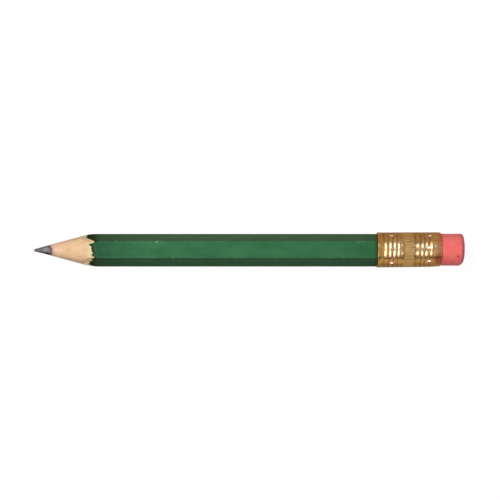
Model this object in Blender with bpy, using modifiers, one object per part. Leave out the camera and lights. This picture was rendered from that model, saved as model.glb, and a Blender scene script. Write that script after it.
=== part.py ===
"""Short hexagonal graphite pencil, sharpened, with a crimped metal ferrule and a rubber eraser.

The pencil lies along X with its point at -X. Two flats of its barrel face up and down, and the lowest line of the
ferrule is at Z = 0. Distances named "from the point" are measured along the pencil from its sharpened end.
"""

from math import cos, pi, radians, sin, tan

import bmesh
import bpy
from mathutils import Matrix, Vector

MM = 0.001

# The whole pencil
OVERALL_LENGTH = 101.6 * MM
CORE_RADIUS = 1.2 * MM
FIT_GAP = 0.02 * MM  # between pieces that are glued or coated onto each other

# Barrel, as wood and coats of paint
LACQUER_ACROSS_FLATS = 6.76 * MM
LACQUER_THICKNESS = 0.09 * MM
PRIMER_THICKNESS = 0.05 * MM
LACQUER_CORNER_RADIUS = 0.6 * MM
CORNER_SEGMENTS = 4
GLUE_THICKNESS = 0.05 * MM

# Sharpened point, a cone cut slightly off the core's axis and blunted by use
POINT_HALF_ANGLE = radians(15.05)
POINT_TILT = radians(1.3)
POINT_RADIUS = 0.323 * MM
PRIMER_SET_BACK = 0.2 * MM
LACQUER_SET_BACK = 0.4 * MM

# Rear end of the barrel, a tenon inside the ferrule
WOOD_END = 87.9 * MM
TENON_RADIUS = 3.55 * MM
SHOULDER_GAP = 0.05 * MM  # the ferrule butts against the shoulder of the tenon

# Ferrule
FERRULE_START = 80.9 * MM
FERRULE_END = 95.87 * MM
FERRULE_RADIUS = 4.05 * MM
SHEET_THICKNESS = 0.2 * MM
GROOVE_DEPTH = 0.19 * MM
GROOVE_HALF_WIDTH = 0.34 * MM
FRONT_GROOVES_START = 82.5 * MM
REAR_GROOVES_START = 90.0 * MM
GROOVES_PER_SET = 5
FRONT_GROOVE_PITCH = 1.03 * MM
REAR_GROOVE_PITCH = 1.12 * MM
FLUTED_BAND_DROP = 0.06 * MM
MOUTH_CHAMFER = 0.4 * MM
MOUTH_DROP = 0.03 * MM
RIM_LENGTH = 0.65 * MM
RIM_DROP = 0.19 * MM

# Punch marks that crimp the ferrule, one over each flat
PUNCHES_PER_RING = 6
FRONT_PUNCH_RING = 84.1 * MM
REAR_PUNCH_RING = 93.35 * MM
PUNCH_DEPTH = 0.13 * MM
PUNCH_FLOOR_RADIUS = 0.25 * MM
PUNCH_MOUTH_RADIUS = 0.6 * MM

# Eraser
ERASER_START = 88.2 * MM
ERASER_RADIUS = 3.76 * MM
ERASER_NECK_RADIUS = 3.6 * MM
ERASER_SHOULDER = 0.35 * MM
ERASER_CORNER_RADIUS = 1.1 * MM
ERASER_CORNER_SEGMENTS = 5
ERASER_START_CHAMFER = 0.3 * MM

# Roundness
CORE_SEGMENTS = 24
CONE_SEGMENTS = 48
TUBE_SEGMENTS = 36

# Cutters reach this far past what they cut
OVERCUT = 2 * MM

AXIS_HEIGHT = FERRULE_RADIUS
SHOULDER = FERRULE_START - SHOULDER_GAP

MATERIALS = {
    "graphite": {"color": (0.11, 0.11, 0.12), "roughness": 0.4, "metallic": 0.3},
    "cedar": {"color": (0.82, 0.56, 0.31), "roughness": 0.7, "metallic": 0.0},
    "white_glue": {"color": (0.80, 0.72, 0.50), "roughness": 0.5, "metallic": 0.0},
    "primer": {"color": (0.78, 0.75, 0.50), "roughness": 0.6, "metallic": 0.0},
    "green_lacquer": {"color": (0.04, 0.16, 0.07), "roughness": 0.3, "metallic": 0.0},
    "gold_sheet": {"color": (0.62, 0.40, 0.14), "roughness": 0.28, "metallic": 1.0},
    "red_rubber": {"color": (0.80, 0.15, 0.13), "roughness": 0.75, "metallic": 0.0},
}


def clear_scene():
    for obj in list(bpy.data.objects):
        bpy.data.objects.remove(obj, do_unlink=True)


def make_collection(name):
    collection = bpy.data.collections.new(name)
    bpy.context.scene.collection.children.link(collection)
    return collection


def make_material(name):
    look = MATERIALS[name]
    material = bpy.data.materials.new(name)
    material.use_nodes = True
    shader = material.node_tree.nodes["Principled BSDF"]
    shader.inputs["Base Color"].default_value = (*look["color"], 1.0)
    shader.inputs["Roughness"].default_value = look["roughness"]
    shader.inputs["Metallic"].default_value = look["metallic"]
    return material


def place(name, mesh, collection, from_point=0.0, tilt=0.0):
    """An object whose local Z runs along the pencil towards the eraser, with its origin on the pencil's axis."""
    obj = bpy.data.objects.new(name, mesh)
    obj.location = (from_point - OVERALL_LENGTH / 2, 0.0, AXIS_HEIGHT)
    obj.rotation_euler = (0.0, pi / 2 + tilt, 0.0)
    collection.objects.link(obj)
    return obj


def new_mesh(name, bm):
    mesh = bpy.data.meshes.new(name)
    bm.to_mesh(mesh)
    bm.free()
    return mesh


def round_bar(name, collection, radius, start, end, segments):
    bm = bmesh.new()
    bmesh.ops.create_cone(bm, cap_ends=True, segments=segments, radius1=radius, radius2=radius, depth=end - start)
    bar = place(name, new_mesh(name, bm), collection, (start + end) / 2)
    bar.data.shade_smooth()
    bar.data.set_sharp_from_angle(angle=radians(40))
    return bar


def hex_bar(name, collection, across_flats, corner_radius, start, end):
    """A hexagonal bar with flats facing up and down, rounded along its six long edges."""
    radius = across_flats / 2 / cos(pi / 6)
    bm = bmesh.new()
    bmesh.ops.create_cone(bm, cap_ends=True, segments=6, radius1=radius, radius2=radius, depth=end - start)
    weight = bm.edges.layers.float.new("bevel_weight_edge")
    for edge in bm.edges:
        along = edge.verts[0].co - edge.verts[1].co
        if abs(along.z) > radius:
            edge[weight] = 1.0
    bar = place(name, new_mesh(name, bm), collection, (start + end) / 2)
    bevel = bar.modifiers.new("Rounded corners", "BEVEL")
    bevel.limit_method = "WEIGHT"
    bevel.width = corner_radius * tan(pi / 6)
    bevel.segments = CORNER_SEGMENTS
    return bar


def box(name, collection, low, high):
    """A box from its lowest to its highest corner: X from the point, Y, and Z from the pencil's axis."""
    low = Vector(low)
    high = Vector(high)
    bm = bmesh.new()
    bmesh.ops.create_cube(bm, size=1.0, matrix=Matrix.Diagonal((*(high - low), 1.0)))
    obj = bpy.data.objects.new(name, new_mesh(name, bm))
    obj.location = (low + high) / 2 + Vector((-OVERALL_LENGTH / 2, 0.0, AXIS_HEIGHT))
    collection.objects.link(obj)
    return obj


def turned(name, collection, profile, segments, from_point=0.0, tilt=0.0):
    """A shape turned about the pencil's axis. The profile is (radius, distance) pairs, down the outer side."""
    mesh = bpy.data.meshes.new(name)
    points = [(radius, 0.0, distance) for radius, distance in profile]
    edges = [(index, index + 1) for index in range(len(points) - 1)]
    mesh.from_pydata(points, edges, [])
    obj = place(name, mesh, collection, from_point, tilt)
    screw = obj.modifiers.new("Turn", "SCREW")
    screw.axis = "Z"
    screw.steps = segments
    screw.render_steps = segments
    screw.use_merge_vertices = True
    screw.merge_threshold = 0.000001
    screw.use_smooth_shade = True
    return obj


def cut(obj, cutter):
    boolean = obj.modifiers.new("Cut by " + cutter.name, "BOOLEAN")
    boolean.operation = "DIFFERENCE"
    boolean.solver = "EXACT"
    boolean.object = cutter
    cutter.hide_render = True
    cutter.display_type = "WIRE"


def sharpener(name, collection, set_back):
    """A block with a conical hollow, which is what a sharpener leaves standing around the point."""
    reach = 24 * MM
    outer_radius = 9 * MM
    steps = 5
    touch_angle = pi / 2 - POINT_HALF_ANGLE
    profile = []
    for index in range(steps + 1):
        angle = touch_angle * index / steps
        profile.append((POINT_RADIUS * sin(angle), POINT_RADIUS * (1 - cos(angle))))
    apex = POINT_RADIUS * (1 - 1 / sin(POINT_HALF_ANGLE))
    profile.append(((reach - apex) * tan(POINT_HALF_ANGLE), reach))
    profile.append((outer_radius, reach))
    profile.append((outer_radius, -OVERCUT))
    profile.append((0.0, -OVERCUT))
    return turned(name, collection, profile, CONE_SEGMENTS, set_back, POINT_TILT)


def tenon_ring(name, collection):
    """A ring that turns down the rear end of the casing, where it goes into the ferrule."""
    outer_radius = 6 * MM
    start = SHOULDER
    end = WOOD_END + OVERCUT
    profile = [(TENON_RADIUS, start), (TENON_RADIUS, end), (outer_radius, end), (outer_radius, start)]
    return turned(name, collection, profile + profile[:1], CONE_SEGMENTS)


def across_flats_at(inset):
    """Size across flats of the hexagon that lies this far inside the painted surface."""
    return LACQUER_ACROSS_FLATS - 2 * inset


def coat(name, parts, cutters, inset, thickness, set_back):
    """A coat of paint on the barrel: a hexagonal sleeve from the sharpened cone to the shoulder at the ferrule."""
    start = 4 * MM
    corner = LACQUER_CORNER_RADIUS
    sleeve = hex_bar(name, parts, across_flats_at(inset), corner - inset, start, SHOULDER)
    inner = inset + thickness
    inside = hex_bar(
        name + "_inside", cutters, across_flats_at(inner), corner - inner, start - OVERCUT, SHOULDER + OVERCUT
    )
    cut(sleeve, inside)
    cut(sleeve, sharpener(name + "_sharpener", cutters, set_back))
    return sleeve


def glue_seam(name, parts, side, wood_corner, wood_cutters):
    """The film of glue between the two slats, on one side of the core."""
    near = CORE_RADIUS + FIT_GAP
    far = wood_corner - FIT_GAP
    low_y = min(side * near, side * far)
    high_y = max(side * near, side * far)
    seam = box(
        name, parts, (OVERCUT, low_y, -GLUE_THICKNESS / 2), (WOOD_END, high_y, GLUE_THICKNESS / 2)
    )
    for cutter in wood_cutters:
        cut(seam, cutter)
    return seam


def groove_points(first_groove, pitch):
    """Outer profile of one set of pressed grooves, front to rear. The ribs are what stands between the grooves."""
    points = []
    for index in range(GROOVES_PER_SET):
        centre = first_groove + index * pitch
        points.append((FERRULE_RADIUS, centre - GROOVE_HALF_WIDTH))
        points.append((FERRULE_RADIUS - GROOVE_DEPTH, centre))
        points.append((FERRULE_RADIUS, centre + GROOVE_HALF_WIDTH))
    return points


def ferrule_profile():
    band_radius = FERRULE_RADIUS - FLUTED_BAND_DROP
    front = groove_points(FRONT_GROOVES_START, FRONT_GROOVE_PITCH)
    rear = groove_points(REAR_GROOVES_START, REAR_GROOVE_PITCH)
    band_inset = 0.25 * MM
    profile = [(FERRULE_RADIUS - MOUTH_DROP, FERRULE_START), (FERRULE_RADIUS, FERRULE_START + MOUTH_CHAMFER)]
    profile += front
    profile.append((band_radius, front[-1][1] + band_inset))
    profile.append((band_radius, rear[0][1] - band_inset))
    profile += rear
    for fraction in (0.0, 0.5, 1.0):
        drop = RIM_DROP * (1 - cos(fraction * pi / 2))
        profile.append((FERRULE_RADIUS - drop, FERRULE_END - RIM_LENGTH * (1 - sin(fraction * pi / 2))))
    return profile[::-1]


def punches(name, collection):
    """Blunt conical punches, pressed in over each flat of the barrel in two rings."""
    flare = (PUNCH_MOUTH_RADIUS - PUNCH_FLOOR_RADIUS) / PUNCH_DEPTH
    length = PUNCH_DEPTH + 0.3 * MM
    bm = bmesh.new()
    for ring in (FRONT_PUNCH_RING, REAR_PUNCH_RING):
        for index in range(PUNCHES_PER_RING):
            turn = Matrix.Rotation(2 * pi * index / PUNCHES_PER_RING, 4, "Z")
            aim = Matrix.Rotation(pi / 2, 4, "Y")
            centre = FERRULE_RADIUS - PUNCH_DEPTH + length / 2
            bmesh.ops.create_cone(
                bm,
                cap_ends=True,
                segments=12,
                radius1=PUNCH_FLOOR_RADIUS,
                radius2=PUNCH_FLOOR_RADIUS + flare * length,
                depth=length,
                matrix=turn @ Matrix.Translation((centre, 0.0, ring)) @ aim,
            )
    return place(name, new_mesh(name, bm), collection)


def eraser_profile():
    corner_centre = ERASER_RADIUS - ERASER_CORNER_RADIUS
    profile = [(0.0, OVERALL_LENGTH)]
    for index in range(ERASER_CORNER_SEGMENTS + 1):
        angle = pi / 2 * index / ERASER_CORNER_SEGMENTS
        radius = corner_centre + ERASER_CORNER_RADIUS * sin(angle)
        profile.append((radius, OVERALL_LENGTH - ERASER_CORNER_RADIUS * (1 - cos(angle))))
    neck_end = FERRULE_END + FIT_GAP
    profile.append((ERASER_RADIUS, neck_end + ERASER_SHOULDER))
    profile.append((ERASER_NECK_RADIUS, neck_end))
    profile.append((ERASER_NECK_RADIUS, ERASER_START + ERASER_START_CHAMFER))
    profile.append((ERASER_NECK_RADIUS - ERASER_START_CHAMFER, ERASER_START))
    profile.append((0.0, ERASER_START))
    return profile


def make_core(parts, wood_sharpener):
    core = round_bar("graphite_core", parts, CORE_RADIUS, -OVERCUT / 2, WOOD_END, CORE_SEGMENTS)
    cut(core, wood_sharpener)
    return core


def make_slats(parts, cutters, wood_inset, wood_sharpener, tenon):
    """The two halves of the casing, each with half of the core's groove, parted through two opposite corners."""
    seam_half = GLUE_THICKNESS / 2 + FIT_GAP
    bore = round_bar("core_groove", cutters, CORE_RADIUS + FIT_GAP, 0.0, WOOD_END + OVERCUT, CORE_SEGMENTS)
    reach = 6 * MM
    ends = (0.0, WOOD_END + OVERCUT)
    below = box("below_the_seam", cutters, (ends[0], -reach, -reach), (ends[1], reach, seam_half))
    above = box("above_the_seam", cutters, (ends[0], -reach, -seam_half), (ends[1], reach, reach))
    slats = []
    for name, other_side in (("casing_slat_upper", below), ("casing_slat_lower", above)):
        slat = hex_bar(
            name, parts, across_flats_at(wood_inset), LACQUER_CORNER_RADIUS - wood_inset, OVERCUT, WOOD_END
        )
        for cutter in (other_side, bore, tenon, wood_sharpener):
            cut(slat, cutter)
        slats.append(slat)
    return slats


def make_ferrule(parts, cutters):
    ferrule = turned("ferrule", parts, ferrule_profile(), TUBE_SEGMENTS)
    sheet = ferrule.modifiers.new("Sheet metal", "SOLIDIFY")
    sheet.thickness = SHEET_THICKNESS
    sheet.offset = -1.0
    sheet.use_even_offset = True
    cut(ferrule, punches("crimp_punches", cutters))
    return ferrule


def build():
    clear_scene()
    parts = make_collection("graphite_pencil")
    cutters = make_collection("cutters")
    primer_inset = LACQUER_THICKNESS + FIT_GAP
    wood_inset = primer_inset + PRIMER_THICKNESS + FIT_GAP
    corner = LACQUER_CORNER_RADIUS - wood_inset
    wood_corner = (across_flats_at(wood_inset) / 2 - corner) / cos(pi / 6) + corner

    wood_sharpener = sharpener("wood_sharpener", cutters, 0.0)
    tenon = tenon_ring("tenon_ring", cutters)

    slats = make_slats(parts, cutters, wood_inset, wood_sharpener, tenon)
    pieces = {
        "graphite": [make_core(parts, wood_sharpener)],
        "cedar": slats,
        "white_glue": [
            glue_seam("glue_seam_front", parts, -1, wood_corner, (wood_sharpener, tenon)),
            glue_seam("glue_seam_back", parts, 1, wood_corner, (wood_sharpener, tenon)),
        ],
        "primer": [coat("primer_coat", parts, cutters, primer_inset, PRIMER_THICKNESS, PRIMER_SET_BACK)],
        "green_lacquer": [coat("lacquer_coat", parts, cutters, 0.0, LACQUER_THICKNESS, LACQUER_SET_BACK)],
        "gold_sheet": [make_ferrule(parts, cutters)],
        "red_rubber": [turned("eraser", parts, eraser_profile(), TUBE_SEGMENTS)],
    }
    for name, objects in pieces.items():
        material = make_material(name)
        for obj in objects:
            obj.data.materials.append(material)


build()
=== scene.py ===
"""Looks of the short hexagonal graphite pencil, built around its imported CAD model.

Lengths in the shape code are millimetres. "station" is the distance along the pencil from its point, and
angles are measured round its axis, from straight up towards +Y. Meshes and lights are made in metres.
"""

import math

import bpy
import numpy as np
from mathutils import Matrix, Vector, noise


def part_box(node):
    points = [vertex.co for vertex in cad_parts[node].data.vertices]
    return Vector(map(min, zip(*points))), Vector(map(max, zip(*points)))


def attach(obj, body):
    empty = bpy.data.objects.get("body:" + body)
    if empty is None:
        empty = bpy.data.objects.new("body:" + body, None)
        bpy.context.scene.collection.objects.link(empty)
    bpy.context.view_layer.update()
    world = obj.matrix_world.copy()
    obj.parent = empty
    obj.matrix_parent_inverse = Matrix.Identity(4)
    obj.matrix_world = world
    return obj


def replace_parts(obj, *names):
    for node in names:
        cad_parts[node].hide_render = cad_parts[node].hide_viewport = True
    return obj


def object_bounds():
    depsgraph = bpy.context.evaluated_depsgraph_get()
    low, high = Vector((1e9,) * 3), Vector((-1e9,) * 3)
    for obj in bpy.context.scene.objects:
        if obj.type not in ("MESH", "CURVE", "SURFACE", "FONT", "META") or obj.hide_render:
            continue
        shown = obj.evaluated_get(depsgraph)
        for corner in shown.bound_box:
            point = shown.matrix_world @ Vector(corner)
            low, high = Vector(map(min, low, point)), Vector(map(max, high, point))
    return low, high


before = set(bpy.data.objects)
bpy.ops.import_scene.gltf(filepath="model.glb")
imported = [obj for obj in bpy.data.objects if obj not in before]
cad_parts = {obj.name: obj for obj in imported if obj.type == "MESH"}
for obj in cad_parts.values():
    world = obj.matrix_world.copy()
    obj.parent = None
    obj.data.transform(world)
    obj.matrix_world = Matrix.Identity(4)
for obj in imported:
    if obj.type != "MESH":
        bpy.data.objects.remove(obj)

MM = 0.001
Y, Z = 1, 2  # places in a vector
CAD_LOW, CAD_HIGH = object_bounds()
TIP_X = CAD_LOW.x
AXIS_Z = (CAD_LOW.z + CAD_HIGH.z) / 2


# ---- sizes that the frame gives

def start_of(node):
    return (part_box(node)[0].x - TIP_X) / MM


def end_of(node):
    return (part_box(node)[1].x - TIP_X) / MM


def half_size(node, axis):
    low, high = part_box(node)
    return (high[axis] - low[axis]) / 2 / MM


def corner_radius(apothem, reach):
    """Radius of a hexagon's rounded corners, from its apothem and the corners' distance to its centre."""
    stretch = 1 / math.cos(math.pi / 6)
    return (apothem * stretch - reach) / (stretch - 1)


LENGTH = (CAD_HIGH.x - CAD_LOW.x) / MM
SHOULDER = end_of("lacquer_coat")
WOOD_END = end_of("casing_slat_upper")
CORE_UNDERSIZE = 0.04  # the finished core is thinner than the CAD's bar
CORE_RADIUS = half_size("graphite_core", Z) - CORE_UNDERSIZE
FIT_GAP = 0.02  # left between neighbours
BORE_GAP = 0.03
THIN_EDGE = 0.012  # what the wood and the coats thin out to at their broken edges
SET_BACK = 0.05  # how far behind the cone's cut those edges lie
BORE_RADIUS = CORE_RADIUS + BORE_GAP
SEAM_HALF = (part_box("casing_slat_upper")[0].z - AXIS_Z) / MM
TENON_RADIUS = 3.3  # clear of the crooked ferrule that hides it

LACQUER_APOTHEM = half_size("lacquer_coat", Z)
LACQUER_CORNER = corner_radius(LACQUER_APOTHEM, half_size("lacquer_coat", Y))
LACQUER_THICKNESS = 0.09
LACQUER_BUILD = 0.07  # extra thickness of the many coats, behind the cut edge
PRIMER_APOTHEM = half_size("primer_coat", Z)
PRIMER_THICKNESS = 0.05
WOOD_APOTHEM = PRIMER_APOTHEM - PRIMER_THICKNESS - FIT_GAP
WOOD_REACH = 3.63  # from the axis to the wood's rounded corners
WOOD_CORNER = corner_radius(WOOD_APOTHEM, WOOD_REACH)

FERRULE_START = start_of("ferrule")
FERRULE_END = end_of("ferrule")
RIB_STAND = 0.12  # of the ribs above the plain sheet
FERRULE_RADIUS = half_size("ferrule", Z) + RIB_STAND
SHEET_THICKNESS = 0.2
ERASER_START = start_of("eraser")
ERASER_SWELL = 0.05  # soft rubber bulges outside the ferrule
ERASER_RADIUS = half_size("eraser", Z) + ERASER_SWELL
NECK_RADIUS = 3.6  # the eraser's, inside the ferrule

CORE_SHIFT = (0.0, 0.12)  # of the core off the pencil's axis, along Y and Z
CROOKED_START, CROOKED_END = 0.07, 0.17  # of the ferrule, along +Y at its two ends

# The sharpened cone: radius = POINT_SLOPE * (station + POINT_OFFSET), leaning down and shifted sideways
SHARPENING_ANGLE = math.radians(15.05)
POINT_SLOPE = math.tan(SHARPENING_ANGLE)
POINT_TILT = math.tan(math.radians(1.3))
POINT_RADIUS = 0.323
POINT_START = -0.23  # the rounded tip stands a little in front of station 0
POINT_OFFSET = POINT_RADIUS * (1 / math.sin(SHARPENING_ANGLE) - 1) - POINT_START
POINT_SIDE_SHIFT = 0.065
SIDE_SHIFT_LENGTH = 3.0


# ---- shapes round the axis

def around(count):
    """Angles of a full turn, with the first one straight up."""
    return np.arange(count) * 2 * math.pi / count


def rows(values, angles):
    """A grid with a row for each value and a column for each angle."""
    return np.reshape(values, (-1, 1)) + 0 * angles


def hex_radius(angles, apothem, corner):
    """Distance from the axis to a hexagon with rounded corners and a flat facing up."""
    sixth = math.pi / 3
    off_flat = np.abs((angles + sixth / 2) % sixth - sixth / 2)
    half_flat = (apothem - corner) * math.tan(sixth / 2)
    centre = (apothem - corner) / math.cos(sixth / 2)
    off_corner = sixth / 2 - off_flat
    beside = centre * np.sin(off_corner)
    on_arc = centre * np.cos(off_corner) + np.sqrt(np.maximum(corner**2 - beside**2, 0))
    return np.where(off_flat < math.atan2(half_flat, apothem), apothem / np.cos(off_flat), on_arc)


def cone_radius(stations, angles):
    """Distance from the axis to the sharpened cone."""
    sideways = POINT_SIDE_SHIFT * smooth(stations / SIDE_SHIFT_LENGTH) * np.sin(angles)
    return POINT_SLOPE * (stations + POINT_OFFSET) - POINT_TILT * stations * np.cos(angles) + sideways


def cone_station(radii, angles):
    """Station at which the sharpened cone has this radius, behind SIDE_SHIFT_LENGTH."""
    behind = radii - POINT_SLOPE * POINT_OFFSET - POINT_SIDE_SHIFT * np.sin(angles)
    return behind / (POINT_SLOPE - POINT_TILT * np.cos(angles))


def smooth(value):
    value = np.clip(value, 0, 1)
    return value * value * (3 - 2 * value)


def soft_min(a, b, blend):
    """The smaller of two, with their crossing rounded over this distance."""
    share = np.clip(0.5 + (b - a) / (2 * blend), 0, 1)
    return b * (1 - share) + a * share - blend * share * (1 - share)


def off_angle(angles, degrees):
    """Angle in degrees between each direction and a given one."""
    turned = np.degrees(angles) - degrees
    return np.abs((turned + 180) % 360 - 180)


def fractal(x, y, z, octaves):
    """A rough value of about -1 to 1 at each place."""
    places = np.stack([x.ravel(), y.ravel(), z.ravel()], axis=1)
    values = [noise.fractal(Vector(place), 0.7, 2.1, octaves) for place in places]
    return np.array(values).reshape(x.shape)


def rough_line(angles, seed, per_turn, octaves=4):
    """A rough value for each direction, which meets itself after a full turn."""
    reach = per_turn / (2 * math.pi)
    return fractal(reach * np.cos(angles), reach * np.sin(angles), seed + 0 * angles, octaves)


def rough_field(stations, radii, angles, scales, seed, octaves=3):
    """A rough value at each place round the axis, with so many waves to a millimetre along X, Y and Z."""
    along, across, up = scales
    y, z = radii * np.sin(angles), radii * np.cos(angles)
    return fractal(stations * along, y * across, z * up + seed, octaves)


def off_centre_radius(angles, radius):
    """Distance from the pencil's axis to a circle of this radius round the core's own axis."""
    along = CORE_SHIFT[0] * np.sin(angles) + CORE_SHIFT[1] * np.cos(angles)
    across = CORE_SHIFT[0] * np.cos(angles) - CORE_SHIFT[1] * np.sin(angles)
    return along + np.sqrt(radius**2 - across**2)


def rolled(share, depth):
    """How far a rolled edge drops: not at all where share is 0, and by nearly its depth where it is 1."""
    return depth * (1 - np.sqrt(1 - share**2 * 0.98))


def along_ferrule(stations):
    """0 at the ferrule's front end, 1 at its rear end."""
    return (stations - FERRULE_START) / (FERRULE_END - FERRULE_START)


def crooked(stations):
    """How far towards +Y the ferrule and the eraser have shifted at each station."""
    return CROOKED_START + (CROOKED_END - CROOKED_START) * np.clip(along_ferrule(stations), 0, 1)


def to_points(stations, radii, angles, shift=0.0):
    """World points in metres for matching grids of stations, radii in millimetres and angles."""
    stations, radii, angles, shift = np.broadcast_arrays(stations, radii, angles, shift)
    x = TIP_X + stations * MM
    y = (radii * np.sin(angles) + shift) * MM
    z = AXIS_Z + radii * np.cos(angles) * MM
    return np.stack([x, y, z], axis=-1)


# ---- meshes

def show(piece):
    bpy.context.scene.collection.objects.link(piece)
    return piece


def make_object(name, points, faces, material, slot, sharp_degrees=45, values=None):
    mesh = bpy.data.meshes.new(name)
    mesh.from_pydata(points.reshape(-1, 3).tolist(), [], faces)
    for key, numbers in (values or {}).items():
        attribute = mesh.attributes.new(key, "FLOAT", "POINT")
        attribute.data.foreach_set("value", np.ascontiguousarray(numbers, np.float32).ravel())
    mesh.validate()
    mesh.shade_smooth()
    mesh.set_sharp_from_angle(angle=math.radians(sharp_degrees))
    mesh.materials.append(material)
    piece = show(bpy.data.objects.new(name, mesh))
    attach(piece, "root")
    return piece


def grid_faces(height, columns, offset=0, wrap=False, close=False):
    """Faces of a grid whose rows follow the pencil towards the eraser and whose columns go round it."""
    faces = []
    for row in range(height if close else height - 1):
        below = offset + row * columns
        above = offset + (row + 1) % height * columns
        for column in range(columns if wrap else columns - 1):
            after = (column + 1) % columns
            faces.append((below + column, above + column, above + after, below + after))
    return faces


def sleeve(name, outer, inner, material, slot, **options):
    """A closed tube from its outer rows, front to back, and its inner rows, back to front."""
    rings = np.concatenate([outer, inner])
    faces = grid_faces(*rings.shape[:2], wrap=True, close=True)
    return make_object(name, rings, faces, material, slot, **options)


def turned_solid(name, rings, material, slot, values):
    """A closed solid from rings, front to back, with a fan round the middle of each end."""
    count, columns = rings.shape[:2]
    faces = grid_faces(count, columns, wrap=True)
    front = count * columns
    back = front + 1
    last = front - columns
    for column in range(columns):
        after = (column + 1) % columns
        faces.append((front, column, after))
        faces.append((back, last + after, last + column))
    ends = np.stack([rings[0].mean(axis=0), rings[-1].mean(axis=0)])
    points = np.concatenate([rings.reshape(-1, 3), ends])
    values = {key: np.append(grid, [grid[0].mean(), grid[-1].mean()]) for key, grid in values.items()}
    return make_object(name, points, faces, material, slot, values=values)


def half_shell(name, outer, inner, material, slot, **options):
    """A closed solid between two matching grids, joined along their four borders."""
    height, columns = outer.shape[:2]
    count = height * columns
    faces = grid_faces(height, columns)
    faces += [face[::-1] for face in grid_faces(height, columns, offset=count)]
    for row in range(height - 1):
        here = row * columns
        there = here + columns
        faces.append((here, count + here, count + there, there))
        right = columns - 1
        faces.append((here + right, there + right, count + there + right, count + here + right))
    for column in range(columns - 1):
        faces.append((column, column + 1, count + column + 1, count + column))
        back = count - columns + column
        faces.append((back, count + back, count + back + 1, back + 1))
    points = np.concatenate([outer.reshape(-1, 3), inner.reshape(-1, 3)])
    return make_object(name, points, faces, material, slot, **options)


# ---- material building blocks

def srgb(red, green, blue):
    """Linear colour from the 0 to 255 values of an ordinary colour picker."""
    linear = [((c / 255 + 0.055) / 1.055) ** 2.4 if c > 10 else c / 255 / 12.92 for c in (red, green, blue)]
    return (*linear, 1.0)


def feed(tree, socket, value):
    """Links a socket to another node's output, or gives it a plain value."""
    if hasattr(value, "is_output"):
        tree.links.new(value, socket)
    else:
        socket.default_value = value


def add_node(tree, kind, **inputs):
    node = tree.nodes.new("ShaderNode" + kind)
    for key, value in inputs.items():
        feed(tree, node.inputs[key.replace("_", " ")], value)
    return node


def mix_colors(tree, share, first, second, blend="MIX"):
    node = add_node(tree, "Mix")
    node.data_type = "RGBA"
    node.blend_type = blend
    for key, value in (("Factor", share), ("A", first), ("B", second)):
        feed(tree, node.inputs[key], value)
    return node.outputs["Result"]


def mix_shaders(tree, share, first, second):
    node = add_node(tree, "MixShader", Fac=share)
    feed(tree, node.inputs[1], first)
    feed(tree, node.inputs[2], second)
    return node.outputs["Shader"]


def new_material(name, **settings):
    """A material with one shader, and these values on the shader's own sockets."""
    material = bpy.data.materials.new(name)
    material.use_nodes = True
    shader = material.node_tree.nodes["Principled BSDF"]
    for key, value in settings.items():
        shader.inputs[key.replace("_", " ")].default_value = value
    return material, shader


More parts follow.
